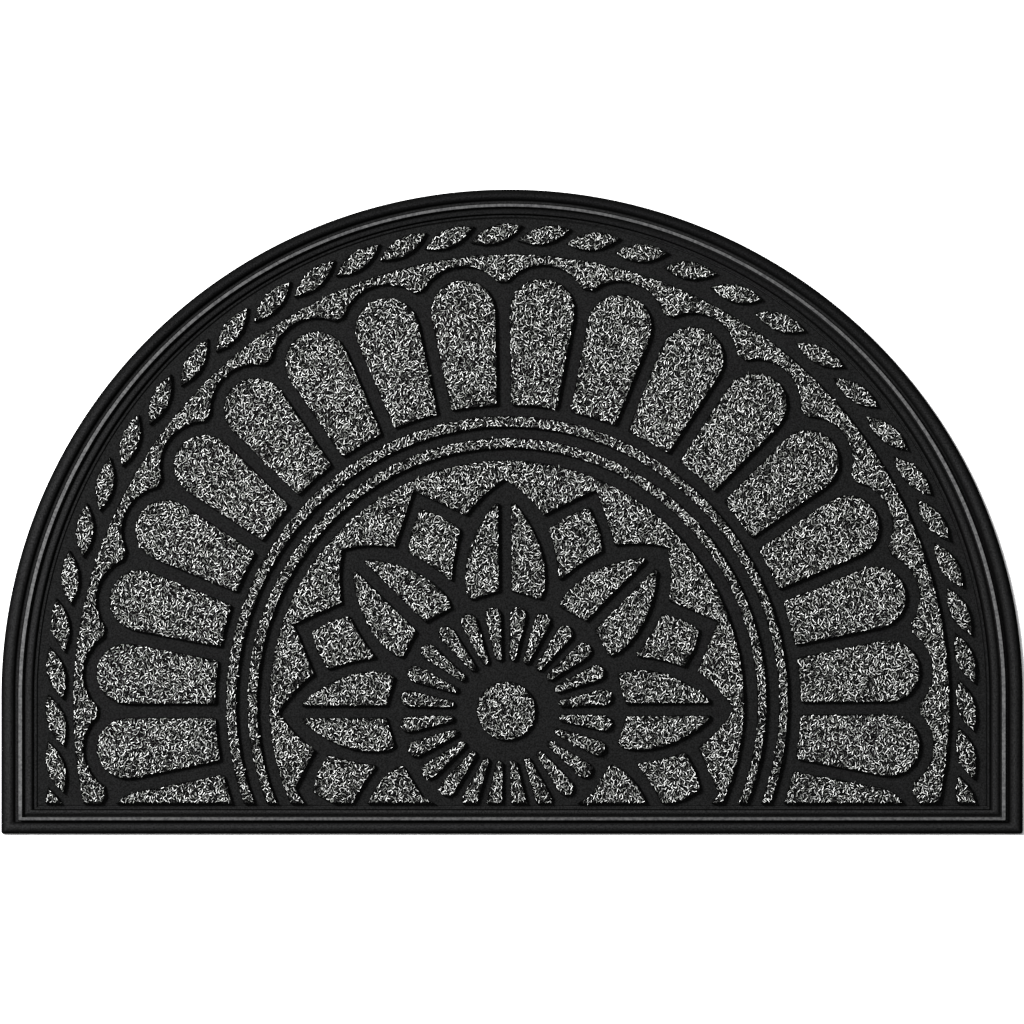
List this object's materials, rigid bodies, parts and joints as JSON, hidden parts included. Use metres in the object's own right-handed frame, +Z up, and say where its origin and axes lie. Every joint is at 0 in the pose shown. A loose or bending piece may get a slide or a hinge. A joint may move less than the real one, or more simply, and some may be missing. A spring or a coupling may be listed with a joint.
{
  "type": "half round doormat",
  "caption": "Half-round moulded rubber doormat with a ridged border and raised short-pile panels in a half medallion: leaves, arches, rings and a flower.",
  "frame": {"origin": "middle of the mat's box at its underside", "axes": "+X along the straight front edge, +Y from the front edge towards the crown of the arch, +Z up from the floor"},
  "size_m": [0.9144, 0.5768, 0.007],
  "materials": {
    "rubber": "matt black moulded rubber with a fine grain",
    "pile": "short grey and black fibre pile"
  },
  "bodies": {
    "root": {"rubber_base": "rubber", "arch_petal_01": "pile", "arch_petal_02": "pile", "arch_petal_03": "pile", "arch_petal_04": "pile", "arch_petal_05": "pile", "arch_petal_06": "pile", "arch_petal_07": "pile", "arch_petal_08": "pile", "arch_petal_09": "pile", "arch_petal_10": "pile", "arch_petal_11": "pile", "arch_petal_12": "pile", "arch_petal_13": "pile", "arch_petal_14": "pile", "arch_petal_15": "pile", "arch_petal_16": "pile", "arch_petal_17": "pile", "arch_petal_18": "pile", "arch_petal_19": "pile", "arch_petal_20": "pile", "centre_disc": "pile", "daisy_spokes": "pile", "flower_field": "pile", "foot_petal_01": "pile", "foot_petal_02": "pile", "inner_ring": "pile", "leaf_border": "pile", "outer_ring": "pile", "petal_half_01": "pile", "petal_half_02": "pile", "petal_half_03": "pile", "petal_half_04": "pile", "petal_half_05": "pile", "petal_half_06": "pile", "petal_half_07": "pile", "petal_half_08": "pile", "petal_half_09": "pile", "petal_half_10": "pile", "petal_kite_01": "pile", "petal_kite_02": "pile", "petal_kite_03": "pile", "petal_kite_04": "pile", "petal_kite_05": "pile", "petal_kite_06": "pile", "scallop_band": "pile"}
  },
  "joints": []
}
